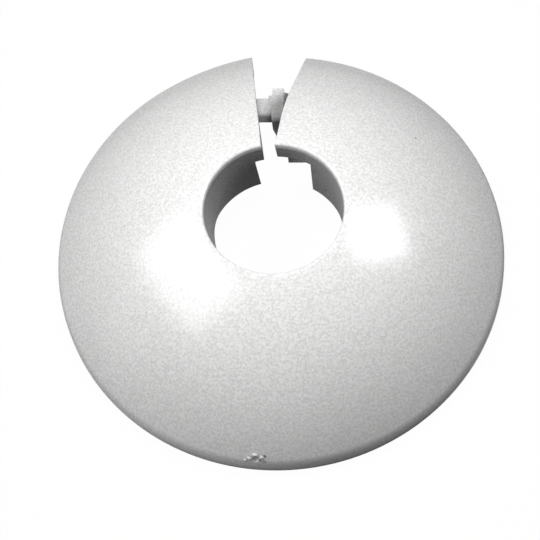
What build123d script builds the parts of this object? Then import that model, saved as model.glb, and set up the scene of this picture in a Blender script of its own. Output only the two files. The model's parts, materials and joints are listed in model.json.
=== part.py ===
from build123d import *
import os
from math import cos, hypot, radians, sin, sqrt

# Split snap-on pipe collar, moulded in one piece, in millimetres.
# The pipe runs along +Z through the origin and the base stands on Z = 0.
# The split opens towards +Y, and the latch reaches across it along X.

# Pipe and bore
PIPE_DIAMETER = 15.0
PIPE_CLEARANCE = 0.2  # play between the pipe and the bore, on the radius

# Domed shell
RIM_DIAMETER = 51.0
CROWN_HEIGHT = 14.0  # where the dome would meet the bore before it is rounded
LAND_HEIGHT = 1.8  # upright band round the rim
SHELL_WALL = 1.8
BORE_ROUND = 0.5  # rounding where the dome turns down into the bore
RIM_ROUND = 0.5  # rounding between the dome and the band

# Sleeve round the bore
SLEEVE_WALL = 1.4
SLEEVE_LIFT = 4.5  # lower end of the sleeve and of the catch, above the base
LIP_DEPTH = 3.1  # depth of the lip that runs on to the split above the relief
RELIEF_LEFT = 0.9  # how far the sleeve stops short of the split on the left
RELIEF_RIGHT = 3.7  # how far it stops short on the right
RELIEF_MARGIN = 0.3  # how far the relief is cut beyond the sleeve

# Split
SPLIT_AT_BORE = 1.5
SPLIT_AT_RIM = 6.5
SPLIT_OFFSET = 0.67  # the split's middle line stands this far left of the pipe axis

# Tongue and arrow head, carried by the left half
TONGUE_STANDOFF = 6.6  # from the sleeve to the middle of the tongue
TONGUE_WIDTH = 2.0
TONGUE_HEIGHT = 2.3
TONGUE_DROP = 0.7  # top of the tongue below the shell's underside
ROOT_LENGTH = 5.0  # length of the rib that carries the tongue under the left half
HEAD_WIDTH = 3.9
HEAD_THICKNESS = 1.35
HEAD_SHIFT = 0.33  # the head's middle stands this far out from the tongue's
HEAD_LIFT = 2.0  # lower end of the head above the base
HEAD_TAPER = 0.6  # how far the head's back face leans in at its lower end
HEAD_TAPER_HEIGHT = 3.0
HEAD_ROUND = 0.4  # rounding of the head's top edge on the side of the bore
NOSE_LENGTH = 0.8
NOSE_STEP = 0.47  # how much narrower the nose is than the head, on each side
GUSSET = 0.4  # small block in the corner behind the head

# Catch under the right half
CATCH_STANDOFF = 1.05  # from the sleeve to the catch's inner wall
CATCH_SETBACK = 0.5  # how far latch walls stand back from the split
CATCH_WALL = 1.2
CATCH_LENGTH = 6.0  # length of the inner wall, away from the split
CATCH_PRONG = 2.0  # width of the plate beyond the slot
LATCH_CLEARANCE = 0.3  # play of the tongue in the catch's slot

# Pit left by the moulding gate, low on the dome opposite the split
GATE_ANGLE = 265.9  # degrees round from +X
GATE_INSET = 0.45  # from the rim in to the middle of the pit
GATE_DIAMETER = 1.2
GATE_DEPTH = 0.3

bore_radius = PIPE_DIAMETER / 2 + PIPE_CLEARANCE
sleeve_radius = bore_radius + SLEEVE_WALL
rim_radius = RIM_DIAMETER / 2
rim_inner = rim_radius - SHELL_WALL
lip_bottom = CROWN_HEIGHT - LIP_DEPTH

# The dome is part of a ball on the pipe axis, through the top of the band and the crown at the bore.
dome_width = rim_radius - bore_radius
dome_rise = CROWN_HEIGHT - LAND_HEIGHT
dome_lean = (rim_radius**2 - bore_radius**2) / dome_rise
center_height = (CROWN_HEIGHT + LAND_HEIGHT - dome_lean) / 2
dome_radius = hypot(rim_radius, LAND_HEIGHT - center_height)


def dome_point(radius, depth=0.0):
    """Point of the section at a radius, on the surface that lies a depth inside the dome."""
    reach = sqrt((dome_radius - depth) ** 2 - radius**2)
    return (radius, center_height + reach)


def dome_arc(outer, inner, depth=0.0):
    """Arc of the section between two radii, a depth inside the dome."""
    middle = (outer + inner) / 2
    return ThreePointArc(dome_point(outer, depth), dome_point(middle, depth), dome_point(inner, depth))


def split_half(y):
    """Half the width of the split at a distance from the pipe axis."""
    share = (y - bore_radius) / dome_width
    return (SPLIT_AT_BORE + (SPLIT_AT_RIM - SPLIT_AT_BORE) * share) / 2


def left_face(y):
    """X of the left half's split face."""
    return -SPLIT_OFFSET - split_half(y)


def right_face(y):
    """X of the right half's split face."""
    return -SPLIT_OFFSET + split_half(y)


def catch_face(y):
    """X of the catch's face towards the split."""
    return right_face(y) + CATCH_SETBACK


tongue_y = sleeve_radius + TONGUE_STANDOFF
tongue_top = dome_point(tongue_y, SHELL_WALL)[1] - TONGUE_DROP
tongue_bottom = tongue_top - TONGUE_HEIGHT
tongue_back = tongue_y + TONGUE_WIDTH / 2
root_end = left_face(tongue_y) - CATCH_SETBACK
root_start = root_end - ROOT_LENGTH
head_y = tongue_y + HEAD_SHIFT
nose_tip = right_face(tongue_y)
head_front = nose_tip - NOSE_LENGTH
head_back = head_front - HEAD_THICKNESS
catch_inner = sleeve_radius + CATCH_STANDOFF
slot_half = TONGUE_WIDTH / 2 + LATCH_CLEARANCE
catch_outer = tongue_y + slot_half + CATCH_PRONG
gate_ball = (GATE_DIAMETER**2 / 4 + GATE_DEPTH**2) / (2 * GATE_DEPTH)
gate_share = (gate_ball - GATE_DEPTH) / dome_radius
foot_radius, foot_height = dome_point(rim_radius - GATE_INSET)
gate_radius = foot_radius * (1 + gate_share)
gate_height = foot_height + (foot_height - center_height) * gate_share
gate_turn = radians(GATE_ANGLE)

# Space under the middle of the shell's wall, which trims what hangs from the shell
with BuildPart() as under_shell:
    with BuildSketch(Plane.XZ):
        with BuildLine():
            underside = dome_arc(rim_inner, sleeve_radius, SHELL_WALL / 2)
            Polyline(underside @ 1, (0, (underside @ 1).Y), (0, 0), (rim_inner, 0), underside @ 0)
        make_face()
    revolve(axis=Axis.Z)

# Catch: a slotted plate along the split and a short wall beside the sleeve
with BuildPart() as catch:
    with BuildSketch(Plane.XY.offset(SLEEVE_LIFT)):
        with BuildLine():
            Polyline(
                (catch_face(catch_inner), catch_inner),
                (catch_face(catch_inner) + CATCH_LENGTH, catch_inner),
                (catch_face(catch_inner) + CATCH_LENGTH, catch_inner + CATCH_WALL),
                (catch_face(catch_inner + CATCH_WALL) + CATCH_WALL, catch_inner + CATCH_WALL),
                (catch_face(catch_outer) + CATCH_WALL, catch_outer),
                (catch_face(catch_outer), catch_outer),
                close=True,
            )
        make_face()
    extrude(amount=CROWN_HEIGHT - SLEEVE_LIFT)
    with BuildSketch(Plane.YZ.offset(nose_tip)):
        with Locations((tongue_y, tongue_top + LATCH_CLEARANCE)):
            Rectangle(2 * slot_half, tongue_top + LATCH_CLEARANCE, align=(Align.CENTER, Align.MAX))
    extrude(amount=CATCH_LENGTH, mode=Mode.SUBTRACT)
    add(under_shell.part, mode=Mode.INTERSECT)

# Root: the rib under the left half that carries the tongue
with BuildPart() as root:
    with BuildSketch(Plane.XY.offset(tongue_bottom)):
        with Locations((root_start, tongue_y)):
            Rectangle(ROOT_LENGTH, TONGUE_WIDTH, align=(Align.MIN, Align.CENTER))
    extrude(amount=CROWN_HEIGHT - tongue_bottom)
    add(under_shell.part, mode=Mode.INTERSECT)

# Tongue with its arrow head
with BuildPart() as tongue:
    with BuildSketch(Plane.XY.offset(tongue_bottom)):
        with Locations((root_end, tongue_y)):
            Rectangle(head_back - root_end, TONGUE_WIDTH, align=(Align.MIN, Align.CENTER))
        with Locations((head_back, tongue_back)):
            Rectangle(GUSSET, GUSSET, align=(Align.MAX, Align.MIN))
    extrude(amount=TONGUE_HEIGHT)
    with BuildSketch(Plane.XZ.offset(-head_y)):
        with BuildLine():
            Polyline(
                (head_back, tongue_top),
                (head_front, tongue_top),
                (head_front, HEAD_LIFT),
                (head_back + HEAD_TAPER, HEAD_LIFT),
                (head_back, HEAD_LIFT + HEAD_TAPER_HEIGHT),
                close=True,
            )
        make_face()
    extrude(amount=HEAD_WIDTH / 2, both=True)
    fillet(tongue.edges().filter_by(Axis.X).group_by(Axis.Z)[-1].sort_by(Axis.Y)[0], HEAD_ROUND)
    with BuildSketch(Plane.XZ.offset(-head_y)):
        with BuildLine():
            Polyline(
                (head_front, tongue_top),
                (nose_tip, tongue_top),
                (nose_tip, tongue_bottom),
                (head_front, HEAD_LIFT),
                close=True,
            )
        make_face()
    extrude(amount=HEAD_WIDTH / 2 - NOSE_STEP, both=True)

# The collar: shell and sleeve turned in one section, then split, relieved and given its latch
with BuildPart() as escutcheon:
    with BuildSketch(Plane.XZ) as section:
        with BuildLine():
            outside = dome_arc(rim_radius, bore_radius)
            inside = dome_arc(rim_inner, sleeve_radius, SHELL_WALL)
            Polyline(outside @ 0, (rim_radius, 0), (rim_inner, 0), inside @ 0)
            Polyline(inside @ 1, (sleeve_radius, SLEEVE_LIFT), (bore_radius, SLEEVE_LIFT), outside @ 1)
        make_face()
        fillet(section.vertices().sort_by_distance(outside @ 1)[0], BORE_ROUND)
        fillet(section.vertices().sort_by_distance(outside @ 0)[0], RIM_ROUND)
    revolve(axis=Axis.Z)
    with BuildSketch():
        with BuildLine():
            far = rim_radius + SHELL_WALL
            Polyline(
                (left_face(bore_radius), 0),
                (left_face(bore_radius), bore_radius),
                (left_face(far), far),
                (right_face(far), far),
                (right_face(bore_radius), bore_radius),
                (right_face(bore_radius), 0),
                close=True,
            )
        make_face()
    extrude(amount=CROWN_HEIGHT, mode=Mode.SUBTRACT)
    with BuildSketch():
        with BuildLine():
            Polyline(
                (left_face(bore_radius) - RELIEF_LEFT, 0),
                (left_face(bore_radius) - RELIEF_LEFT, sleeve_radius + RELIEF_MARGIN),
                (right_face(bore_radius) + RELIEF_RIGHT, sleeve_radius + RELIEF_MARGIN),
                (right_face(bore_radius) + RELIEF_RIGHT, 0),
                close=True,
            )
        make_face()
    extrude(amount=lip_bottom, mode=Mode.SUBTRACT)
    add(catch.part)
    add(root.part)
    add(tongue.part)
    with Locations((gate_radius * cos(gate_turn), gate_radius * sin(gate_turn), gate_height)):
        Sphere(gate_ball, mode=Mode.SUBTRACT)

escutcheon.part.label = "escutcheon"
os.makedirs("parts", exist_ok=True)
export_step(escutcheon.part, "parts/escutcheon.step")
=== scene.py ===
import json
import logging
import math
from collections.abc import Callable
from dataclasses import dataclass, field
from enum import Enum
from typing import Union

import bmesh
import bpy
from mathutils import Matrix, Vector


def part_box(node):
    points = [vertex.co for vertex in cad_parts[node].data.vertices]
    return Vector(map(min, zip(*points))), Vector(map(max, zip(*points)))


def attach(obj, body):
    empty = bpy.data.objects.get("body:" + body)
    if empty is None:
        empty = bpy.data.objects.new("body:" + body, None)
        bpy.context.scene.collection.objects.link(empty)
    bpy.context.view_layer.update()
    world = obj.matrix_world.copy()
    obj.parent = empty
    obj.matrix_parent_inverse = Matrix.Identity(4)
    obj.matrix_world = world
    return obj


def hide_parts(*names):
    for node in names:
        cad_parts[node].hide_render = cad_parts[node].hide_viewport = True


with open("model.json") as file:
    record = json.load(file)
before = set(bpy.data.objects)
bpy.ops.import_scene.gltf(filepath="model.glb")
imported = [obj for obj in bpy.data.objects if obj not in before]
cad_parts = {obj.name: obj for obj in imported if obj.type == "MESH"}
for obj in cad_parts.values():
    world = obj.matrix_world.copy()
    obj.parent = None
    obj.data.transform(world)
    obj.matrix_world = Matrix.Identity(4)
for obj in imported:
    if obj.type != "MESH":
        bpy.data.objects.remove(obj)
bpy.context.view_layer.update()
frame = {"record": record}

# Looks of a split snap-on pipe collar, moulded in white gloss plastic.
# The collar is modelled in millimetres in the frame's own axes, and brought to metres when it is finished.
# The pipe runs along +Z through the origin, and the split opens towards +Y.

MM = 0.001
NEAR = 1e-3  # millimetres within which two places are the same
IMAGE_SIZE = 540
NODE = "escutcheon"
BODY = "root"

log = logging.getLogger("pipe_collar")

Point = tuple[float, float]
Place = tuple[float, float, float]
Color = tuple[float, float, float]
Piece = bpy.types.Object
Nodes = bpy.types.NodeTree
Socket = bpy.types.NodeSocket
Feed = Union[Socket, float, tuple[float, float, float, float]]

WHITE: Color = (1.0, 1.0, 1.0)
QUAD_CORNERS = 4  # the faces of a spun section have this many, and its end faces have more


class Half(Enum):
    """The two halves of the collar beside the split, by the sign of X."""

    LEFT = -1
    RIGHT = 1


class Element(Enum):
    """What a pick in edit mode takes."""

    VERTEX = "VERT"
    EDGE = "EDGE"
    FACE = "FACE"


class Joining(Enum):
    """How one solid is worked into another."""

    ADD = "UNION"
    CUT = "DIFFERENCE"


class Mixing(Enum):
    """What a Mix node blends: its data type, and the places of its two inputs and its output."""

    VALUE = ("FLOAT", 2, 3, 0)
    COLOR = ("RGBA", 6, 7, 2)


# Modelling helpers


def make_active(piece: Piece) -> None:
    """Select one piece alone and make it the active one.

    Args:
        piece: The object that the next operators work on.
    """
    bpy.ops.object.select_all(action="DESELECT")
    piece.select_set(True)
    bpy.context.view_layer.objects.active = piece


def pick(piece: Piece, element: Element, test: Callable[..., bool]) -> None:
    """Select in edit mode the elements of a mesh that pass a test.

    Args:
        piece: The object in edit mode.
        element: Whether vertices, edges or faces are picked.
        test: Takes one bmesh element and says whether it is picked.
    """
    bpy.ops.mesh.select_mode(type=element.value)
    bpy.ops.mesh.select_all(action="DESELECT")
    mesh = bmesh.from_edit_mesh(piece.data)
    mesh.normal_update()
    pools = {Element.VERTEX: mesh.verts, Element.EDGE: mesh.edges, Element.FACE: mesh.faces}
    found = [item for item in pools[element] if test(item)]
    for item in found:
        item.select_set(True)
    mesh.select_flush_mode()
    bmesh.update_edit_mesh(piece.data)


def draw_face(name: str, outline: list[Vector]) -> Piece:
    """Draw a closed outline by extruding one vertex from place to place, and fill it.

    Args:
        name: Name of the new object.
        outline: Corners of the flat face, in order.

    Returns:
        The object, left in edit mode with its face selected.
    """
    bpy.ops.object.select_all(action="DESELECT")
    bpy.ops.mesh.primitive_plane_add(size=1)
    piece = bpy.context.active_object
    piece.name = name
    piece.data.name = name
    bpy.ops.object.mode_set(mode="EDIT")
    bpy.ops.mesh.select_mode(type="VERT")
    bpy.ops.mesh.select_all(action="SELECT")
    bpy.ops.mesh.merge(type="CENTER")
    bpy.ops.transform.translate(value=outline[0])
    for place, following in zip(outline, outline[1:]):
        bpy.ops.mesh.extrude_region_move(TRANSFORM_OT_translate={"value": following - place})
    bpy.ops.mesh.select_all(action="SELECT")
    bpy.ops.mesh.edge_face_add()
    return piece


def draw_prism(name: str, outline: list[Vector], depth: Vector) -> Piece:
    """Draw a flat face and extrude it into a block.

    Args:
        name: Name of the new object.
        outline: Corners of the flat face, in order.
        depth: The way and distance that the face is extruded.

    Returns:
        The block, in object mode.
    """
    piece = draw_face(name, outline)
    bpy.ops.mesh.extrude_region_move(TRANSFORM_OT_translate={"value": depth})
    bpy.ops.mesh.select_all(action="SELECT")
    bpy.ops.mesh.normals_make_consistent(inside=False)
    bpy.ops.object.mode_set(mode="OBJECT")
    return piece


def work_in(piece: Piece, tool: Piece, how: Joining) -> None:
    """Join one solid to another or cut it out of it, and remove the tool.

    Args:
        piece: The solid that is kept.
        tool: The solid that is used up.
        how: Whether the tool is added or cut away.
    """
    make_active(piece)
    modifier = piece.modifiers.new(how.name.lower(), "BOOLEAN")
    modifier.operation = how.value
    modifier.solver = "EXACT"
    modifier.object = tool
    bpy.ops.object.modifier_apply(modifier=modifier.name)
    bpy.data.objects.remove(tool, do_unlink=True)


def soften_edges(piece: Piece, radius: float, segments: int, sharpest: float) -> None:
    """Round the outward edges of a solid that are sharper than an angle.

    Args:
        piece: The solid, in object mode.
        radius: Width of the rounding.
        segments: Steps across the rounding.
        sharpest: Least angle between two faces, in radians, at which their edge is rounded.
    """
    make_active(piece)
    bpy.ops.object.mode_set(mode="EDIT")
    pick(
        piece,
        Element.EDGE,
        lambda edge: edge.is_manifold and edge.is_convex and edge.calc_face_angle() > sharpest,
    )
    bpy.ops.mesh.bevel(offset=radius, segments=segments, profile=0.5, affect="EDGES", clamp_overlap=True)
    bpy.ops.object.mode_set(mode="OBJECT")


def bring_to_metres(piece: Piece, smooth_angle: float) -> None:
    """Scale a finished piece to metres and give it smooth shading that keeps flat faces flat.

    Args:
        piece: The piece, modelled in millimetres.
        smooth_angle: Faces that meet at less than this angle, in radians, shade as one.
    """
    make_active(piece)
    piece.scale = (MM, MM, MM)
    bpy.ops.object.transform_apply(location=True, rotation=True, scale=True)
    bpy.ops.object.shade_smooth_by_angle(angle=smooth_angle)
    modifier = piece.modifiers.new("flat faces", "WEIGHTED_NORMAL")
    modifier.keep_sharp = True
    bpy.ops.object.modifier_apply(modifier=modifier.name)


def arc(center: Point, radius: float, start: float, end: float, steps: int) -> list[Point]:
    """Points along an arc of the section, both ends among them.

    Args:
        center: Middle of the arc, as a radius from the pipe axis and a height.
        radius: Radius of the arc.
        start: Angle of the first point, in radians from the outward direction.
        end: Angle of the last point.
        steps: How many runs the arc has.

    Returns:
        The points in order.
    """
    turns = [start + (end - start) * step / steps for step in range(steps + 1)]
    return [(center[0] + radius * math.cos(turn), center[1] + radius * math.sin(turn)) for turn in turns]


def ease(share: float) -> float:
    """Give a share a gentle start and end, and keep it between 0 and 1."""
    kept = min(1.0, max(0.0, share))
    return kept**2 * (3 - 2 * kept)


# Finishes


def opaque(color: Color) -> tuple[float, float, float, float]:
    """Give a colour the full alpha that a shader socket asks for."""
    return (*color, 1.0)


def blend(tree: Nodes, share: Feed, low: Feed, high: Feed, mixing: Mixing = Mixing.VALUE) -> Socket:
    """Blend two values or two colours by a share.

    Args:
        tree: The material's nodes.
        share: Runs from 0 for the first one to 1 for the second, as a socket or a number.
        low: The first value or colour, as a socket or as it is.
        high: The second value or colour, as a socket or as it is.
        mixing: Whether values or colours are blended.

    Returns:
        The socket with the blend.
    """
    mix = tree.nodes.new("ShaderNodeMix")
    mix.data_type, first, second, result = mixing.value
    for socket, value in ((mix.inputs[0], share), (mix.inputs[first], low), (mix.inputs[second], high)):
        if isinstance(value, Socket):
            tree.links.new(value, socket)
        else:
            socket.default_value = value
    return mix.outputs[result]


def mix_shaders(tree: Nodes, share: Socket, low: Socket, high: Socket) -> Socket:
    """Blend two shaders by a share.

    Args:
        tree: The material's nodes.
        share: Socket that runs from 0 for the first shader to 1 for the second.
        low: Socket of the first shader.
        high: Socket of the second shader.

    Returns:
        The socket with the blended shader.
    """
    mix = tree.nodes.new("ShaderNodeMixShader")
    for socket, value in zip(mix.inputs, (share, low, high)):
        tree.links.new(value, socket)
    return mix.outputs["Shader"]


def map_range(tree: Nodes, value: Socket, given: Point, wanted: Point) -> Socket:
    """Bring a value from one range to another, with a smooth start and end.

    Args:
        tree: The material's nodes.
        value: The socket to read.
        given: The range that the value has.
        wanted: The range that it is brought to.

    Returns:
        The socket with the new value.
    """
    node = tree.nodes.new("ShaderNodeMapRange")
    node.interpolation_type = "SMOOTHSTEP"
    tree.links.new(value, node.inputs["Value"])
    node.inputs["From Min"].default_value, node.inputs["From Max"].default_value = given
    node.inputs["To Min"].default_value, node.inputs["To Max"].default_value = wanted
    return node.outputs["Result"]


def noise(tree: Nodes, place: Socket, size: float, detail: float) -> Socket:
    """Make a cloudy pattern of a given grain size.

    Args:
        tree: The material's nodes.
        place: Socket with the object coordinates, in metres.
        size: Size of the grain, in millimetres.
        detail: How many finer layers the pattern has.

    Returns:
        The socket with the pattern, from 0 to 1.
    """
    node = tree.nodes.new("ShaderNodeTexNoise")
    node.inputs["Scale"].default_value = 1 / (size * MM)
    node.inputs["Detail"].default_value = detail
    tree.links.new(place, node.inputs["Vector"])
    return node.outputs["Fac"]


@dataclass(frozen=True)
class Spot:
    """A round region in which a finish changes; place, radius and soft edge in millimetres."""

    place: Place
    radius: float
    fade: float

    def share(self, tree: Nodes, place: Socket) -> Socket:
        """Work out how much of the region's finish each point has.

        Args:
            tree: The material's nodes.
            place: Socket with the object coordinates, in metres.

        Returns:
            The socket with the share, 1 in the middle and 0 outside.
        """
        away = tree.nodes.new("ShaderNodeVectorMath")
        away.operation = "DISTANCE"
        tree.links.new(place, away.inputs[0])
        away.inputs[1].default_value = Vector(self.place) * MM
        edge = ((self.radius - self.fade) * MM, self.radius * MM)
        return map_range(tree, away.outputs["Value"], edge, (1.0, 0.0))


@dataclass(frozen=True)
class PlasticFinish:
    """Gloss white moulding plastic with a fine grain, rougher where the mould's core shaped it, with painted
    shade in recesses and at listed places on the core side.

    Sizes are in millimetres.
    """

    name: str
    core: Spot
    painted_shade: tuple[Spot, ...] = ()
    color: Color = (0.945, 0.945, 0.94)
    shade: Color = (0.675, 0.675, 0.67)
    # colour of the dark specks, also used for the painted shade in the gate scar's pit and hollows
    speck_and_shade_color: Color = (0.16, 0.15, 0.14)
    specks_and_hollow_shade: tuple[Spot, ...] = ()
    roughness: float = 0.22
    roughness_spread: float = 0.2  # share by which the grain raises or lowers the roughness
    core_roughness: float = 0.55
    painted_shade_tone: float = 0.56  # brightness of the painted shade on the core side at the listed places, beside the outer face
    recess_shade_tone: float = 0.5  # brightness of the painted shade where surfaces close in on all sides
    recess_range: Point = (0.2, 1.0)  # openness of the deepest recess and of an open face
    recess_reach: float = 4.0
    recess_samples: int = 8
    specular: float = 1.0
    grazing_specular: float = 0.02
    grazing_range: Point = (0.3, 0.75)  # how far a face turns from the view while its mirroring dies away
    ior: float = 1.54
    cloud_size: float = 6.0
    cloud_detail: float = 2.0
    cloud_share: float = 0.15
    grain_size: float = 0.27
    grain_detail: float = 1.0
    grain_depth: float = 0.002
    grain_strength: float = 0.3
    gloss_range: Point = (0.2, 0.8)  # part of the grain's range that changes the roughness
    tone_range: Point = (0.25, 0.75)  # part of it that changes the colour

    def material(self) -> bpy.types.Material:
        """Make the finish as a material.

        Returns:
            The new material.
        """
        material = bpy.data.materials.new(self.name)
        material.use_nodes = True
        tree = material.node_tree
        shader = tree.nodes["Principled BSDF"]
        place = tree.nodes.new("ShaderNodeTexCoord").outputs["Object"]
        grain = noise(tree, place, self.grain_size, self.grain_detail)
        core = self.core.share(tree, place)
        tree.links.new(self.color_with_painted_shade(tree, place, grain, core), shader.inputs["Base Color"])
        spread = self.roughness * self.roughness_spread
        gloss = map_range(tree, grain, self.gloss_range, (self.roughness - spread, self.roughness + spread))
        tree.links.new(blend(tree, core, gloss, self.core_roughness), shader.inputs["Roughness"])
        facing = tree.nodes.new("ShaderNodeLayerWeight").outputs["Facing"]
        mirror = map_range(tree, facing, self.grazing_range, (self.specular, self.grazing_specular))
        tree.links.new(blend(tree, core, mirror, self.grazing_specular), shader.inputs["Specular IOR Level"])
        shader.inputs["IOR"].default_value = self.ior
        bump = tree.nodes.new("ShaderNodeBump")
        bump.inputs["Strength"].default_value = self.grain_strength
        bump.inputs["Distance"].default_value = self.grain_depth * MM
        tree.links.new(grain, bump.inputs["Height"])
        tree.links.new(bump.outputs["Normal"], shader.inputs["Normal"])
        return material

    def color_with_painted_shade(self, tree: Nodes, place: Socket, grain: Socket, core: Socket) -> Socket:
        """Colour of the plastic, with painted shade in recesses and at the listed places on the core side.

        Args:
            tree: The material's nodes.
            place: Socket with the object coordinates, in metres.
            grain: Socket with the fine grain, from 0 to 1.
            core: Socket with the share of the core side.

        Returns:
            The socket with the colour.
        """
        # Painted shade: the colour darkens where surfaces close in, by ambient occlusion.
        openness = tree.nodes.new("ShaderNodeAmbientOcclusion")
        openness.samples = self.recess_samples
        openness.inputs["Distance"].default_value = self.recess_reach * MM
        tone = map_range(tree, openness.outputs["AO"], self.recess_range, (self.recess_shade_tone, 1.0))
        # Painted shade: the core side's colour is darkened at each listed place.
        for spot in self.painted_shade:
            painted_shade = tree.nodes.new("ShaderNodeMath")
            painted_shade.operation = "MULTIPLY"
            tree.links.new(tone, painted_shade.inputs[0])
            share = blend(tree, core, 0.0, spot.share(tree, place))
            tree.links.new(blend(tree, share, 1.0, self.painted_shade_tone), painted_shade.inputs[1])
            tone = painted_shade.outputs["Value"]
        shaded_color = tree.nodes.new("ShaderNodeVectorMath")
        shaded_color.operation = "SCALE"
        tree.links.new(self.base_color(tree, place, grain), shaded_color.inputs[0])
        tree.links.new(tone, shaded_color.inputs["Scale"])
        return shaded_color.outputs["Vector"]

    def base_color(self, tree: Nodes, place: Socket, grain: Socket) -> Socket:
        """Colour of the plastic, with its grain, its clouds, its dark specks and the painted shade in the
        gate scar's hollows.

        Args:
            tree: The material's nodes.
            place: Socket with the object coordinates, in metres.
            grain: Socket with the fine grain, from 0 to 1.

        Returns:
            The socket with the colour.
        """
        clouds = noise(tree, place, self.cloud_size, self.cloud_detail)
        fine = map_range(tree, grain, self.tone_range, (0.0, 1.0))
        tone = blend(tree, self.cloud_share, fine, clouds)
        color = blend(tree, tone, opaque(self.shade), opaque(self.color), Mixing.COLOR)
        for speck_and_shade_spot in self.specks_and_hollow_shade:
            share = speck_and_shade_spot.share(tree, place)
            color = blend(tree, share, color, opaque(self.speck_and_shade_color), Mixing.COLOR)
        return color


# The collar's sub-assemblies, in millimetres


@dataclass(frozen=True)
class Dome:
    """The ball on the pipe axis that the shell's faces are part of."""

    bore_radius: float
    rim_radius: float
    crown_height: float = 14.0
    land_height: float = 1.8
    wall: float = 1.8

    @property
    def center_height(self) -> float:
        """Height of the ball's middle."""
        lean = (self.rim_radius**2 - self.bore_radius**2) / (self.crown_height - self.land_height)
        return (self.crown_height + self.land_height - lean) / 2

    @property
    def radius(self) -> float:
        """Radius of the outer face."""
        return math.hypot(self.rim_radius, self.land_height - self.center_height)

    def height(self, radius: float, depth: float = 0.0) -> float:
        """Height of the outer face, or of one a depth inside it, at a distance from the pipe axis."""
        return self.center_height + math.sqrt((self.radius - depth) ** 2 - radius**2)

    def point(self, turn: float, radius: float) -> Vector:
        """Point of the outer face, at an angle round from +X in radians and a distance from the axis."""
        return Vector((radius * math.cos(turn), radius * math.sin(turn), self.height(radius)))

    def seat(self, radius: float, depth: float) -> Point:
        """Point of the section at a distance from the pipe axis, a depth inside the outer face."""
        return (radius, self.height(radius, depth))

    def tilt(self, point: Point) -> float:
        """Angle of a point of the section round the ball's middle, in radians from the level."""
        return math.atan2(point[1] - self.center_height, point[0])

    def outward(self, point: Vector) -> Vector:
        """Direction out of the dome at a point."""
        return (point - Vector((0, 0, self.center_height))).normalized()


@dataclass(frozen=True)
class Split:
    """The wedge-shaped gap between the two halves."""

    dome: Dome
    at_bore: float = 1.5
    at_rim: float = 6.5
    offset: float = 0.67
    left_bow: float = 0.08  # how far the left face stands back, half-way along
    left_lean: float = 0.2  # how far its upper edge stands back from the lower one, at the bore
    right_sway: float = 0.18  # how far the right face's upper edge swings to either side
    sway_skew: float = 1.1  # how far towards the rim the middle of that swing lies, above 1
    right_nib: float = 0.2  # how far that edge reaches into the gap, at the bore
    lean_fade: float = 0.15  # share of the split over which the lean at the bore dies away
    nib_fade: float = 0.05  # share of it over which the nib does

    @property
    def slope(self) -> float:
        """How fast each split face leaves the middle line."""
        return (self.at_rim - self.at_bore) / 2 / (self.dome.rim_radius - self.dome.bore_radius)

    def reach(self, half: Half) -> float:
        """Distance along X from the pipe axis to where a split face would cross the X axis."""
        return self.at_bore / 2 - self.slope * self.dome.bore_radius - half.value * self.offset

    def face(self, half: Half, y: float) -> float:
        """X of a half's split face at a distance along +Y."""
        return half.value * (self.reach(half) + self.slope * y)

    def turn(self, half: Half, radius: float) -> float:
        """Angle in radians from +Y to a half's split face, at a distance from the pipe axis."""
        return math.atan(self.slope) + math.asin(self.reach(half) / (radius * math.hypot(1, self.slope)))

    def stand_back(self, half: Half, radius: float, upper: float) -> float:
        """Distance that a half's split face stands back from a flat one.

        Args:
            half: The half that the face is on.
            radius: Distance from the pipe axis.
            upper: How near the point is to the outer face, from 0 on the inner face to 1.

        Returns:
            The distance, away from the split.
        """
        reach = max(0.0, radius - self.dome.bore_radius)
        along = reach / (self.dome.rim_radius - self.dome.bore_radius)
        if half is Half.LEFT:
            lean = upper * self.left_lean * math.exp(-along / self.lean_fade)
            return self.left_bow * math.sin(math.pi * along) + lean
        sway = self.right_sway * math.sin(2 * math.pi * along**self.sway_skew)
        return -upper * (sway + self.right_nib * math.exp(-along / self.nib_fade))


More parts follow.
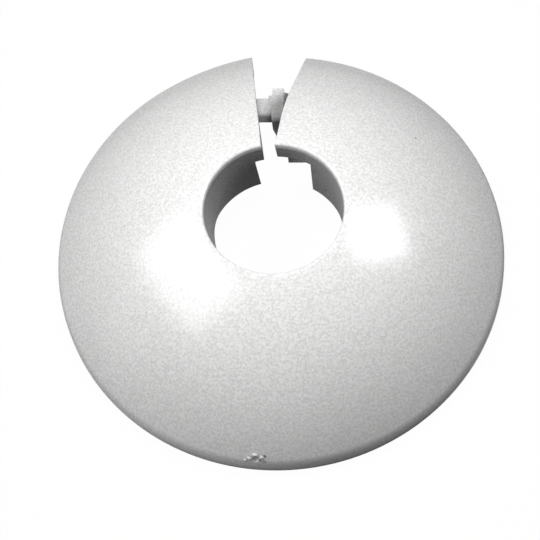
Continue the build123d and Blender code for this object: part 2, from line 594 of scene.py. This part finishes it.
@dataclass(frozen=True)
class Shell:
    """The domed shell with its sleeve, split faces and the relief under its lip."""

    dome: Dome
    split: Split
    sleeve_radius: float
    sleeve_lift: float = 4.5
    lip_depth: float = 3.1
    relief_left: float = 2.12  # from the pipe axis to the relief's left side, at the bore
    relief_splay: float = 0.3  # how fast that side leaves the split outward from the bore
    relief_right: float = 3.78  # from the pipe axis to the relief's right side
    relief_slant: float = 0.32  # how much further left the relief's left side starts, under the lip
    lip_sag: float = 0.5  # how much lower the lip reaches on the left half
    foot_draw: float = 0.8  # how far the sleeve's front is drawn in at its foot
    draw_start: float = 4.0  # distance behind the pipe axis at which it starts to be
    draw_run: float = 6.0  # distance over which the drawing-in grows
    bore_round: float = 0.35
    rim_round: float = 2.4
    foot_round: float = 0.14
    base_round: float = 0.2
    root_round: float = 0.3
    edge_round: float = 0.1
    edge_segments: int = 3
    sharp_angle: float = math.radians(50)  # edges that turn by more than this are rounded
    spun: float = math.radians(350)  # angle that the section is spun through, before its columns are slid
    columns: int = 160
    relief_columns_left: int = 3
    relief_columns_right: int = 12
    relief_fade: float = 6.0  # distance over which the columns even out beyond the sleeve
    end_flare: float = 0.35  # how far the rim's left end stands out beside the split
    flare_share: float = 0.07  # share of the way round over which it does
    dome_rows: int = 26
    under_rows: int = 18
    round_rows: int = 6

    @property
    def lip_bottom(self) -> float:
        """Height of the lip's lower face."""
        return self.dome.crown_height - self.lip_depth

    def relief_side(self, radius: float) -> float:
        """Distance along X from the pipe axis to the relief's left side, at a distance from the axis."""
        return self.relief_left + self.relief_splay * max(0.0, radius - self.dome.bore_radius)

    def outline(self) -> list[Point]:
        """Work out the section through the shell and the sleeve.

        Returns:
            Corners of the section, as radius and height, once round.
        """
        dome = self.dome
        ball = (0.0, dome.center_height)
        rim_inner = dome.rim_radius - dome.wall
        rim = dome.seat(dome.rim_radius - self.rim_round, self.rim_round)
        bore = dome.seat(dome.bore_radius + self.bore_round, self.bore_round)
        root = dome.seat(self.sleeve_radius + self.root_round, dome.wall + self.root_round)
        under = dome.seat(rim_inner, dome.wall)
        base, foot = self.base_round, self.foot_round
        foot_height = self.sleeve_lift + foot
        quarter, half, three, whole = (math.pi / 2 * count for count in (1, 2, 3, 4))
        few = self.round_rows // 2
        runs = (
            arc((dome.rim_radius - base, base), base, -quarter, 0.0, few),
            arc(rim, self.rim_round, 0.0, dome.tilt(rim), self.round_rows),
            arc(ball, dome.radius, dome.tilt(rim), dome.tilt(bore), self.dome_rows),
            arc(bore, self.bore_round, dome.tilt(bore), half, 2 * self.round_rows),
            [(dome.bore_radius, self.lip_bottom)],
            arc((dome.bore_radius + foot, foot_height), foot, half, three, few),
            arc((self.sleeve_radius - foot, foot_height), foot, three, whole, few),
            [(self.sleeve_radius, self.lip_bottom)],
            arc(root, self.root_round, half, dome.tilt(root), few),
            arc(ball, dome.radius - dome.wall, dome.tilt(root), dome.tilt(under), self.under_rows),
            arc((rim_inner + base, base), base, half, three, few),
        )
        points = [point for run in runs for point in run]
        pairs = zip([points[-1], *points], points)
        return [point for before, point in pairs if math.dist(before, point) > NEAR]

    def column_turn(self, share: float, radius: float, upper: float) -> float:
        """Angle of one column of the spun mesh, so that the end columns lie in the split faces.

        Args:
            share: Where the column lies, from 0 at the left split face to 1 at the right one.
            radius: Distance from the pipe axis.
            upper: How near the point is to the outer face, from 0 on the inner face to 1.

        Returns:
            The angle round from +X, in radians.
        """
        split = self.split
        first = split.turn(Half.LEFT, radius) + split.stand_back(Half.LEFT, radius, upper) / radius
        right_turn = split.turn(Half.RIGHT, radius) + split.stand_back(Half.RIGHT, radius, upper) / radius
        last = 2 * math.pi - right_turn
        left_side = math.asin(self.relief_side(radius) / radius)
        right_side = 2 * math.pi - math.asin(self.relief_right / radius)
        stops = (
            (0.0, first),
            (self.relief_columns_left / self.columns, left_side),
            (1 - self.relief_columns_right / self.columns, right_side),
            (1.0, last),
        )
        even = first + share * (last - first)
        pinned = last
        for (low, start), (high, end) in zip(stops, stops[1:]):
            if low <= share <= high:
                pinned = start + (end - start) * (share - low) / (high - low)
        hold = min(1.0, max(0.0, 1 - (radius - self.sleeve_radius) / self.relief_fade))
        return math.pi / 2 + even + (pinned - even) * hold

    def build(self) -> Piece:
        """Spin the section round the pipe axis, fit it to the split faces and open the relief.

        Returns:
            The shell, in object mode.
        """
        piece = draw_face("collar", [Vector((radius, 0, height)) for radius, height in self.outline()])
        bpy.ops.mesh.spin(steps=self.columns, angle=self.spun, center=(0, 0, 0), axis=(0, 0, -1))
        bpy.ops.mesh.select_all(action="SELECT")
        bpy.ops.mesh.remove_doubles(threshold=NEAR)
        self.fit_columns(piece)
        self.open_relief(piece)
        self.shape_sleeve(piece)
        bpy.ops.mesh.select_all(action="SELECT")
        bpy.ops.mesh.normals_make_consistent(inside=False)
        bpy.ops.object.mode_set(mode="OBJECT")
        soften_edges(piece, self.edge_round, self.edge_segments, self.sharp_angle)
        return piece

    def fit_columns(self, piece: Piece) -> None:
        """Slide the spun columns round until the first and last lie in the split faces.

        Args:
            piece: The spun shell, in edit mode.
        """
        mesh = bmesh.from_edit_mesh(piece.data)
        whole = 2 * math.pi
        slack = (whole - self.spun) / 2
        for vertex in mesh.verts:
            radius = math.hypot(vertex.co.x, vertex.co.y)
            share = ((math.atan2(vertex.co.y, vertex.co.x) + slack) % whole - slack) / self.spun
            ball = math.hypot(radius, vertex.co.z - self.dome.center_height)
            upper = min(1.0, max(0.0, 1 - (self.dome.radius - ball) / self.dome.wall))
            column = round(share * self.columns) / self.columns
            turn = self.column_turn(column, radius, upper)
            flare = self.end_flare * max(0.0, 1 - column / self.flare_share) ** 2
            outward = max(0.0, radius - self.sleeve_radius) / (self.dome.rim_radius - self.sleeve_radius)
            reach = radius + flare * outward**2
            vertex.co.x = reach * math.cos(turn)
            vertex.co.y = reach * math.sin(turn)
        bmesh.update_edit_mesh(piece.data)

    def open_relief(self, piece: Piece) -> None:
        """Take the sleeve away beside the split, under the lip, and close the cut faces.

        Args:
            piece: The spun shell, in edit mode.
        """
        pick(piece, Element.FACE, lambda face: len(face.verts) > QUAD_CORNERS)
        bpy.ops.mesh.delete(type="ONLY_FACE")

        def in_relief(face: bmesh.types.BMFace) -> bool:
            """Tell whether a face belongs to the part of the sleeve that is taken away.

            Args:
                face: A face of the shell.

            Returns:
                True for a face under the lip, between the relief's sides.
            """
            center = face.calc_center_median()
            beside = -self.relief_side(center.xy.length) < center.x < self.relief_right and center.y > 0
            return beside and center.z < self.lip_bottom and center.xy.length < self.sleeve_radius + NEAR

        pick(piece, Element.FACE, in_relief)
        bpy.ops.mesh.delete(type="FACE")
        for half in Half:
            self.close_lip(piece, half)
        pick(piece, Element.EDGE, lambda edge: edge.is_boundary)
        bpy.ops.mesh.fill_holes(sides=0)

    def close_lip(self, piece: Piece, half: Half) -> None:
        """Close the lip's lower face on one half.

        Args:
            piece: The shell with its sleeve taken away beside the split, in edit mode.
            half: The half that the lip is on.
        """

        def on_lip(edge: bmesh.types.BMEdge) -> bool:
            """Tell whether an open edge lies along the lip on this half.

            Args:
                edge: An edge of the shell.

            Returns:
                True for an open edge at the height of the lip's lower face.
            """
            level = all(abs(vertex.co.z - self.lip_bottom) < NEAR for vertex in edge.verts)
            middle = (edge.verts[0].co.x + edge.verts[1].co.x) / 2
            return edge.is_boundary and level and (middle + self.split.offset) * half.value > 0

        pick(piece, Element.EDGE, on_lip)
        bpy.ops.mesh.bridge_edge_loops(type="SINGLE")

    def shape_sleeve(self, piece: Piece) -> None:
        """Lower the lip on the left half, and draw in the front of the sleeve's foot to grip the pipe.

        Args:
            piece: The spun shell with its relief open, in edit mode.
        """

        def on_left_lip(vertex: bmesh.types.BMVert) -> bool:
            """Tell whether a vertex lies on the lip's lower face, left of the split.

            Args:
                vertex: A vertex of the shell.

            Returns:
                True for a vertex of that face.
            """
            level = abs(vertex.co.z - self.lip_bottom) < NEAR
            side = -self.relief_side(vertex.co.xy.length)
            return level and vertex.co.y > 0 and side - NEAR < vertex.co.x < -self.split.offset

        pick(piece, Element.VERTEX, on_left_lip)
        bpy.ops.transform.translate(value=(0, 0, -self.lip_sag))
        mesh = bmesh.from_edit_mesh(piece.data)
        slant = Matrix.Rotation(self.relief_slant / self.dome.bore_radius, 3, "Z")
        for vertex in mesh.verts:
            if vertex.select and vertex.co.x < NEAR - self.relief_side(vertex.co.xy.length):
                vertex.co = slant @ vertex.co
        for vertex in mesh.verts:
            radius = vertex.co.xy.length
            share = (self.lip_bottom - vertex.co.z) / (self.lip_bottom - self.sleeve_lift)
            if radius < self.sleeve_radius + NEAR and share > 0:
                front = ease((self.draw_start - vertex.co.y) / self.draw_run)
                vertex.co.xy *= 1 - share * front * self.foot_draw / radius
        bmesh.update_edit_mesh(piece.data)


@dataclass(frozen=True)
class Tongue:
    """The springy tongue with its arrow head, and the rib that carries it under the left half."""

    dome: Dome
    split: Split
    sleeve_radius: float
    standoff: float = 6.6
    width: float = 2.0
    height: float = 2.3
    drop: float = 0.7
    root_length: float = 5.0
    root_setback: float = 0.5
    head_width: float = 3.9
    head_thickness: float = 1.35
    head_shift: float = 0.33
    head_lift: float = 2.0
    head_taper: float = 0.6
    head_taper_height: float = 3.0
    nose_length: float = 0.8
    nose_step: float = 0.47
    nose_fall: float = 0.45  # how far the nose slopes down to its tip
    gusset: float = 0.4
    front_round: float = 0.9
    front_segments: int = 6
    edge_round: float = 0.12
    edge_segments: int = 3
    sharp_angle: float = math.radians(40)  # edges that turn by more than this are rounded
    sink: float = 0.03  # how far one block's faces lie inside the next one's

    @property
    def y(self) -> float:
        """Distance of the tongue's middle from the pipe axis."""
        return self.sleeve_radius + self.standoff

    @property
    def top(self) -> float:
        """Height of the tongue's upper face."""
        return self.dome.height(self.y, self.dome.wall) - self.drop

    @property
    def bottom(self) -> float:
        """Height of the tongue's lower face."""
        return self.top - self.height

    @property
    def nose_tip(self) -> float:
        """X of the end of the nose."""
        return self.split.face(Half.RIGHT, self.y)

    def block(self, name: str, outline: list[Point], middle: float, width: float) -> Piece:
        """Make a block from its side view, with a wide rounding on its top edge towards the bore.

        Args:
            name: Name of the new object.
            outline: Corners of the side view, as X and height.
            middle: Distance of the block's middle from the pipe axis.
            width: Width of the block along Y.

        Returns:
            The block.
        """
        near = middle - width / 2
        top = max(height for x, height in outline)
        front_round = min(self.front_round, width / 2 - 2 * self.edge_round)
        corners = [Vector((x, near, height)) for x, height in outline]
        piece = draw_prism(name, corners, Vector((0, width, 0)))

        def faces_bore(edge: bmesh.types.BMEdge) -> bool:
            """Tell whether an edge is the top edge on the side of the bore."""
            return all(math.hypot(end.co.y - near, end.co.z - top) < NEAR for end in edge.verts)

        def bounds_side(edge: bmesh.types.BMEdge) -> bool:
            """Tell whether a sharp outward edge lies in the side view."""
            level = abs(edge.verts[0].co.y - edge.verts[1].co.y) < NEAR
            return level and edge.is_convex and edge.calc_face_angle() > self.sharp_angle

        bpy.ops.object.mode_set(mode="EDIT")
        roundings = (
            (faces_bore, front_round, self.front_segments),
            (bounds_side, self.edge_round, self.edge_segments),
        )
        for test, radius, segments in roundings:
            pick(piece, Element.EDGE, test)
            bpy.ops.mesh.bevel(offset=radius, segments=segments, profile=0.5, affect="EDGES")
        bpy.ops.object.mode_set(mode="OBJECT")
        return piece

    def build(self) -> Piece:
        """Make the rib, the tongue, the head, the nose and the gusset as one solid.

        Blocks that run into one another are sunk by a little, so that no two of their faces lie in one plane.

        Returns:
            The tongue, with its edges rounded.
        """
        front = self.nose_tip - self.nose_length
        back = front - self.head_thickness
        inside = back + self.head_thickness / 2
        root_end = self.split.face(Half.LEFT, self.y) - self.root_setback
        root_start = root_end - self.root_length
        in_wall = self.dome.wall / 2
        head_y = self.y + self.head_shift
        sunk = self.top - self.sink
        root = [
            (root_start, self.bottom),
            (root_end, self.bottom),
            (root_end, self.dome.height(math.hypot(root_end, self.y), in_wall)),
            (root_start, self.dome.height(math.hypot(root_start, self.y), in_wall)),
        ]
        bar = [
            (root_end - self.width, self.bottom + self.sink),
            (inside, self.bottom + self.sink),
            (inside, sunk),
            (root_end - self.width, sunk),
        ]
        head = [
            (back, self.top),
            (back, self.head_lift + self.head_taper_height),
            (back + self.head_taper, self.head_lift),
            (front, self.head_lift),
            (front, self.top),
        ]
        nose = [
            (inside + self.sink, sunk),
            (inside + self.sink, self.head_lift + self.nose_length),
            (front, self.head_lift + self.sink),
            (self.nose_tip, self.bottom),
            (self.nose_tip, sunk - self.nose_fall),
            (front, sunk),
        ]
        gusset = [
            (back - self.gusset, sunk - self.sink),
            (back - self.gusset, self.bottom + 2 * self.sink),
            (inside - self.sink, self.bottom + 2 * self.sink),
            (inside - self.sink, sunk - self.sink),
        ]
        nose_width = self.head_width - 2 * self.nose_step
        piece = self.block("head", head, head_y, self.head_width)
        work_in(piece, self.block("nose", nose, head_y, nose_width), Joining.ADD)
        work_in(piece, self.block("bar", bar, self.y, self.width), Joining.ADD)
        work_in(piece, self.block("gusset", gusset, self.y + self.width / 2, 2 * self.gusset), Joining.ADD)
        work_in(piece, self.block("root", root, self.y, self.width + 2 * self.sink), Joining.ADD)
        piece.name = "tongue"
        return piece


@dataclass(frozen=True)
class Catch:
    """The slotted plate and the short wall under the right half, which hold the tongue's head."""

    dome: Dome
    split: Split
    tongue: Tongue
    standoff: float = 1.05
    setback: float = 0.5
    wall: float = 1.2
    length: float = 6.0
    prong: float = 2.0
    clearance: float = 0.3
    lift: float = 4.5

    def face(self, y: float) -> float:
        """X of the plate's face towards the split."""
        return self.split.face(Half.RIGHT, y) + self.setback

    def build(self) -> Piece:
        """Make the plate and the wall, and cut the slot.

        Returns:
            The catch, with its top inside the shell's wall.
        """
        inner = self.tongue.sleeve_radius + self.standoff
        slot_half = self.tongue.width / 2 + self.clearance
        outer = self.tongue.y + slot_half + self.prong
        plan = (
            (self.face(inner), inner),
            (self.face(inner) + self.length, inner),
            (self.face(inner) + self.length, inner + self.wall),
            (self.face(inner + self.wall) + self.wall, inner + self.wall),
            (self.face(outer) + self.wall, outer),
            (self.face(outer), outer),
        )
        rise = self.dome.crown_height - self.lift
        piece = draw_prism("catch", [Vector((x, y, self.lift)) for x, y in plan], Vector((0, 0, rise)))
        bpy.ops.object.mode_set(mode="EDIT")
        for x, y in plan:
            corner = Vector((x, y, self.dome.crown_height))
            pick(piece, Element.VERTEX, lambda vertex: (vertex.co - corner).length < NEAR)
            lowered = self.dome.height(math.hypot(x, y), self.dome.wall / 2) - self.dome.crown_height
            bpy.ops.transform.translate(value=(0, 0, lowered))
        bpy.ops.object.mode_set(mode="OBJECT")
        slot_top = self.tongue.top + self.clearance
        start, end = self.tongue.nose_tip, self.tongue.nose_tip + self.length
        near, far = self.tongue.y - slot_half, self.tongue.y + slot_half
        slot_plan = [Vector((x, y, 0)) for x, y in ((start, near), (end, near), (end, far), (start, far))]
        bpy.ops.object.mode_set(mode="EDIT")
        pick(piece, Element.FACE, lambda face: face.normal.z > NEAR)
        bpy.ops.mesh.quads_convert_to_tris()
        bpy.ops.object.mode_set(mode="OBJECT")
        work_in(piece, draw_prism("slot", slot_plan, Vector((0, 0, slot_top))), Joining.CUT)
        return piece


@dataclass(frozen=True)
class Tear:
    """A round hollow of the gate scar, with its place along and up the dome from the scar's middle."""

    along: float
    up: float
    length: float
    height: float


@dataclass(frozen=True)
class Flake(Tear):
    """A torn flake of the gate scar, which stands out of the dome; its width runs up the dome."""

    width: float


@dataclass(frozen=True)
class GateScar:
    """The pit left low on the dome where the moulding was torn off its runner, with torn flakes round it."""

    dome: Dome
    turn: float = math.radians(265.4)
    inset: float = 0.45
    pit: Tear = Tear(along=0.0, up=0.0, length=0.85, height=0.24)
    hollows: tuple[Tear, ...] = (
        Tear(along=0.53, up=-0.16, length=0.36, height=0.13),
        Tear(along=1.0, up=0.4, length=0.36, height=0.12),
        Tear(along=1.0, up=-0.36, length=0.36, height=0.12),
    )
    flakes: tuple[Flake, ...] = (
        Flake(along=-0.05, up=0.62, length=0.7, width=0.42, height=0.27),
        Flake(along=0.7, up=0.32, length=0.46, width=0.5, height=0.27),
        Flake(along=-0.7, up=0.14, length=0.6, width=0.36, height=0.22),
        Flake(along=-1.15, up=-0.16, length=0.42, width=0.26, height=0.2),
    )
    raggedness: float = 0.05
    evenness: float = 0.3  # how alike the distances are that a flake's vertices move, from 0 to 1
    hollow_fineness: int = 4  # how often the balls that cut the hollows are subdivided
    flake_fineness: int = 3
    seed: int = 11

    def place(self, tear: Tear) -> Vector:
        """Find the point of the dome where a tear has its middle.

        Args:
            tear: A hollow or a flake.

        Returns:
            The point.
        """
        foot = self.dome.rim_radius - self.inset
        tilt = math.asin(foot / self.dome.radius) - tear.up / self.dome.radius
        return self.dome.point(self.turn + tear.along / foot, self.dome.radius * math.sin(tilt))

    def cut_hollows(self, piece: Piece) -> None:
        """Cut the pit and the hollows beside it into the shell.

        Args:
            piece: The shell.
        """
        for tear in (self.pit, *self.hollows):
            ball = (tear.length**2 / 4 + tear.height**2) / (2 * tear.height)
            place = self.place(tear)
            middle = place + self.dome.outward(place) * (ball - tear.height)
            bpy.ops.object.select_all(action="DESELECT")
            bpy.ops.mesh.primitive_ico_sphere_add(
                subdivisions=self.hollow_fineness, radius=ball, location=middle
            )
            work_in(piece, bpy.context.active_object, Joining.CUT)

    def build_flake(self, flake: Flake, seed: int) -> Piece:
        """Make one torn flake from a ball of unit width.

        Args:
            flake: The flake's place and size.
            seed: Chooses the flake's ragged shape.

        Returns:
            The flake, in place on the dome.
        """
        bpy.ops.object.select_all(action="DESELECT")
        bpy.ops.mesh.primitive_ico_sphere_add(subdivisions=self.flake_fineness, radius=1 / 2)
        piece = bpy.context.active_object
        bpy.ops.object.mode_set(mode="EDIT")
        bpy.ops.mesh.select_all(action="SELECT")
        bpy.ops.transform.resize(value=(flake.length, flake.width, 2 * flake.height))
        bpy.ops.transform.vertex_random(offset=self.raggedness, uniform=self.evenness, seed=seed)
        bpy.ops.object.mode_set(mode="OBJECT")
        place = self.place(flake)
        up = self.dome.outward(place)
        along = Vector((0, 0, 1)).cross(up).normalized()
        turned = Matrix((along, up.cross(along), up)).transposed().to_4x4()
        piece.matrix_world = Matrix.Translation(place) @ turned
        bpy.ops.object.transform_apply(location=True, rotation=True, scale=True)
        return piece

    def build(self) -> Piece:
        """Make the flakes and join them.

        Returns:
            The flakes as one piece.
        """
        made = [self.build_flake(flake, self.seed + number) for number, flake in enumerate(self.flakes)]
        make_active(made[0])
        for flake in made[1:]:
            flake.select_set(True)
        bpy.ops.object.join()
        piece = bpy.context.active_object
        piece.name = "gate_scar"
        piece.data.name = "gate_scar"
        return piece


@dataclass
class Collar:
    """The whole moulding: shell, tongue and catch in one piece, with the gate scar on it."""

    bore_radius: float
    rim_radius: float
    sleeve_wall: float = 1.4
    smooth_angle: float = math.radians(35)
    skin: float = 0.6  # depth under the outer face at which the mould's core side starts
    torn_color: Color = (0.95, 0.95, 0.95)
    pieces: list[Piece] = field(default_factory=list)

    @property
    def dome(self) -> Dome:
        """The ball that the shell is part of."""
        return Dome(self.bore_radius, self.rim_radius)

    @property
    def scar(self) -> GateScar:
        """The mark of the moulding gate."""
        return GateScar(self.dome)

    def build(self) -> None:
        """Model the moulding and the torn flakes at its gate."""
        dome = self.dome
        split = Split(dome)
        sleeve_radius = self.bore_radius + self.sleeve_wall
        tongue = Tongue(dome, split, sleeve_radius)
        scar = self.scar
        moulding = Shell(dome, split, sleeve_radius).build()
        work_in(moulding, tongue.build(), Joining.ADD)
        work_in(moulding, Catch(dome, split, tongue).build(), Joining.ADD)
        scar.cut_hollows(moulding)
        self.pieces = [moulding, scar.build()]
        for piece in self.pieces:
            bring_to_metres(piece, self.smooth_angle)
            log.info("%s: %d faces", piece.name, len(piece.data.polygons))

    def finishes(self) -> list[PlasticFinish]:
        """Work out the finishes of the moulding and of the torn flakes at its gate.

        Returns:
            The two finishes, in that order.
        """
        core_radius = self.dome.radius - self.skin
        core = Spot((0.0, 0.0, self.dome.center_height), radius=core_radius, fade=0.5)
        # Painted shade on the core side, where shade falls in the bore and round the latch:
        painted_shade = (
            Spot((0.0, 0.0, 8.5), radius=11.0, fade=0.5),  # the sleeve
            Spot((-2.3, 7.3, 7.0), radius=6.5, fade=5.0),  # the sleeve's end left of the split
            Spot((0.8, 15.6, 6.4), radius=3.2, fade=1.4),  # the latch's head
            Spot((0.3, 13.8, 5.2), radius=3.2, fade=1.5),  # the front of the head
            Spot((4.0, 16.0, 7.4), radius=3.9, fade=0.6),  # the nose
        )
        scar = self.scar
        # Painted shade in the pit and the hollows of the gate scar; the first two spots below are real dark
        # specks.
        shaded_hollow_places = [tuple(scar.place(tear)) for tear in (scar.pit, *scar.hollows)]
        specks_and_hollow_shade = (
            Spot((5.39, 5.5, 6.91), radius=0.2, fade=0.1),
            Spot((15.53, 11.27, 8.5), radius=0.2, fade=0.1),
            *(Spot(place, radius=0.3, fade=0.25) for place in shaded_hollow_places),
        )
        return [
            PlasticFinish("white gloss plastic", core, painted_shade, specks_and_hollow_shade=specks_and_hollow_shade),
            PlasticFinish("torn plastic", core, color=self.torn_color, roughness=0.5, grain_strength=0.8),
        ]

    def dress(self) -> None:
        """Give each piece its finish and tie it to the frame."""
        for piece, finish in zip(self.pieces, self.finishes()):
            piece.data.materials.clear()
            piece.data.materials.append(finish.material())
            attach(piece, BODY)
        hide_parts(NODE)


# Studio and camera


@dataclass(frozen=True)
class SoftBox:
    """A rectangular lamp that faces the collar; lengths in metres, power in watts, turn in degrees."""

    name: str
    toward: Place
    power: float
    width: float
    depth: float
    turn: float = 0.0
    distance: float = 0.5
    mirrored: bool = True  # whether the lamp shows as a highlight

    def build(self) -> None:
        """Hang the lamp."""
        data = bpy.data.lights.new(self.name, "AREA")
        data.shape = "RECTANGLE"
        data.size = self.width
        data.size_y = self.depth
        data.energy = self.power
        lamp = bpy.data.objects.new(self.name, data)
        direction = Vector(self.toward).normalized()
        turned = Matrix.Rotation(math.radians(self.turn), 3, "Z")
        facing = direction.to_track_quat("Z", "Y").to_matrix() @ turned
        lamp.matrix_world = Matrix.Translation(direction * self.distance) @ facing.to_4x4()
        lamp.visible_camera = False
        lamp.visible_glossy = self.mirrored
        bpy.context.scene.collection.objects.link(lamp)


@dataclass
class Studio:
    """A plain white floor, a white surround and soft lamps."""

    lamps: tuple[SoftBox, ...]
    floor_radius: float = 3.0
    floor_corners: int = 64
    floor_color: Color = (0.04, 0.04, 0.04)
    shadow_share: float = 0.02  # how much of the floor's own shading shows under the white
    ambient: float = 0.01
    floor_drop: float = 0.0003  # how far the floor lies under the collar's base
    glow: float = 0.3  # light that the floor gives off under the dome, so that the hollow side shows
    glow_ring: Spot = Spot((0.0, 0.0, 0.0), radius=25.3, fade=0.2)
    glow_gaps: tuple[Spot, ...] = (
        Spot((0.0, 0.0, 0.0), radius=10.5, fade=0.5),  # the bore and the sleeve
        Spot((-0.5, 17.0, 0.0), radius=7.0, fade=2.0),  # the split
    )

    def seen_directly(self, tree: Nodes) -> Socket:
        """Tell rays that show the background from rays that carry light to the collar.

        Args:
            tree: The nodes of the floor's material or of the world.

        Returns:
            A socket that is 1 for camera, glossy and transmission rays.
        """
        path = tree.nodes.new("ShaderNodeLightPath")
        total = path.outputs["Is Camera Ray"]
        for kind in ("Is Glossy Ray", "Is Transmission Ray"):
            add = tree.nodes.new("ShaderNodeMath")
            add.operation = "MAXIMUM"
            tree.links.new(total, add.inputs[0])
            tree.links.new(path.outputs[kind], add.inputs[1])
            total = add.outputs["Value"]
        return total

    def under_light(self, tree: Nodes) -> Socket:
        """Make the glow of the floor under the dome, which leaves out the bore and the split.

        Args:
            tree: The nodes of the floor's material.

        Returns:
            The socket with the glowing shader.
        """
        place = tree.nodes.new("ShaderNodeTexCoord").outputs["Object"]
        share = self.glow_ring.share(tree, place)
        for gap in self.glow_gaps:
            share = blend(tree, gap.share(tree, place), share, 0.0)
        light = tree.nodes.new("ShaderNodeEmission")
        tree.links.new(blend(tree, share, 0.0, self.glow), light.inputs["Strength"])
        return light.outputs["Emission"]

    def floor_material(self) -> bpy.types.Material:
        """Make the floor's finish: white to the camera, with a faint shadow, and clear from below.

        Returns:
            The new material.
        """
        material = bpy.data.materials.new("white floor")
        material.use_nodes = True
        material.cycles.emission_sampling = "NONE"
        tree = material.node_tree
        tree.nodes.clear()
        seen = self.seen_directly(tree)
        matte = tree.nodes.new("ShaderNodeBsdfDiffuse")
        color = blend(tree, seen, opaque(self.floor_color), opaque(WHITE), Mixing.COLOR)
        tree.links.new(color, matte.inputs["Color"])
        ground = tree.nodes.new("ShaderNodeAddShader")
        tree.links.new(matte.outputs["BSDF"], ground.inputs[0])
        tree.links.new(self.under_light(tree), ground.inputs[1])
        white = tree.nodes.new("ShaderNodeEmission")
        clear = tree.nodes.new("ShaderNodeBsdfTransparent")
        share = map_range(tree, seen, (0.0, 1.0), (0.0, 1 - self.shadow_share))
        below = tree.nodes.new("ShaderNodeNewGeometry").outputs["Backfacing"]
        top = mix_shaders(tree, share, ground.outputs["Shader"], white.outputs["Emission"])
        both = mix_shaders(tree, below, top, clear.outputs["BSDF"])
        output = tree.nodes.new("ShaderNodeOutputMaterial")
        tree.links.new(both, output.inputs["Surface"])
        return material

    def build_floor(self) -> None:
        """Lay the floor just under the collar's base."""
        bpy.ops.object.select_all(action="DESELECT")
        bpy.ops.mesh.primitive_circle_add(
            vertices=self.floor_corners, radius=self.floor_radius, fill_type="NGON"
        )
        floor = bpy.context.active_object
        floor.name = "floor"
        floor.location.z = -self.floor_drop
        bpy.ops.object.transform_apply(location=True, rotation=False, scale=False)
        floor.data.materials.append(self.floor_material())

    def build_world(self) -> None:
        """Surround the stage with white that lights the collar only a little."""
        world = bpy.data.worlds.new("white surround")
        world.use_nodes = True
        tree = world.node_tree
        background = tree.nodes["Background"]
        background.inputs["Color"].default_value = opaque(WHITE)
        strength = map_range(tree, self.seen_directly(tree), (0.0, 1.0), (self.ambient, 1.0))
        tree.links.new(strength, background.inputs["Strength"])
        bpy.context.scene.world = world

    def build(self) -> None:
        """Set up the floor, the surround and the lamps."""
        self.build_floor()
        self.build_world()
        for lamp in self.lamps:
            lamp.build()
            log.info("lamp %s: %g W", lamp.name, lamp.power)


@dataclass(frozen=True)
class PhotoCamera:
    """The camera of the photograph; angles in degrees, distance in metres, places in pixels."""

    azimuth: float = 8.86
    elevation: float = 65.75
    roll: float = -8.19
    distance: float = 0.26
    focal_pixels: float = 2267.34
    origin_pixel: Point = (280.685, 259.579)
    clip_start: float = 0.01

    def build(self) -> None:
        """Place the camera and make it the scene's own."""
        angles = (self.azimuth, self.elevation, self.roll)
        azimuth, elevation, roll = (math.radians(angle) for angle in angles)
        level = math.cos(elevation)
        back = Vector((math.sin(azimuth) * level, -math.cos(azimuth) * level, math.sin(elevation)))
        right = Vector((0, 0, 1)).cross(back).normalized()
        up = back.cross(right)
        side = right * math.cos(roll) + up * math.sin(roll)
        top = up * math.cos(roll) - right * math.sin(roll)
        scale = self.distance / self.focal_pixels
        across = self.origin_pixel[0] - IMAGE_SIZE / 2
        above = IMAGE_SIZE / 2 - self.origin_pixel[1]
        target = (side * across + top * above) * -scale
        location = back * self.distance
        axis = (location - target).normalized()
        upright = (top - axis * top.dot(axis)).normalized()
        data = bpy.data.cameras.new("photo camera")
        data.lens = self.focal_pixels * data.sensor_width / IMAGE_SIZE
        data.clip_start = self.clip_start
        camera = bpy.data.objects.new("photo camera", data)
        turned = Matrix((upright.cross(axis), upright, axis)).transposed().to_4x4()
        camera.matrix_world = Matrix.Translation(location) @ turned
        bpy.context.scene.collection.objects.link(camera)
        bpy.context.scene.camera = camera


def main() -> None:
    """Build the collar, dress it, and set up the studio and the camera."""
    logging.basicConfig(level=logging.INFO, format="%(name)s: %(message)s")
    bore = next(mount for mount in frame["record"]["mounts"] if mount["name"] == "pipe_bore")
    collar = Collar(bore_radius=bore["dims"]["r_mm"], rim_radius=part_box(NODE)[1].x / MM)
    collar.build()
    collar.dress()
    lamps = (
        SoftBox("left softbox", (-0.645, -0.015, 0.764), power=0.8, width=0.41, depth=0.26, turn=30.8),
        SoftBox("right softbox", (0.616, 0.255, 0.729), power=0.6, width=0.18, depth=0.205),
        SoftBox("low lamp", (-1.0, -0.25, 0.17), power=0.45, width=0.2, depth=0.2, mirrored=False),
        SoftBox(
            "top lamp", (0.0, 0.0, 1.0), power=0.011, width=0.02, depth=0.02, distance=0.07, mirrored=False
        ),
        SoftBox(
            "back lamp", (0.0, 0.15, 1.0), power=0.035, width=0.02, depth=0.02, distance=0.1, mirrored=False
        ),
    )
    Studio(lamps).build()
    PhotoCamera().build()
    bpy.context.scene.view_settings.view_transform = "Standard"
    log.info("collar built and dressed")


if __name__ == "__main__":
    main()
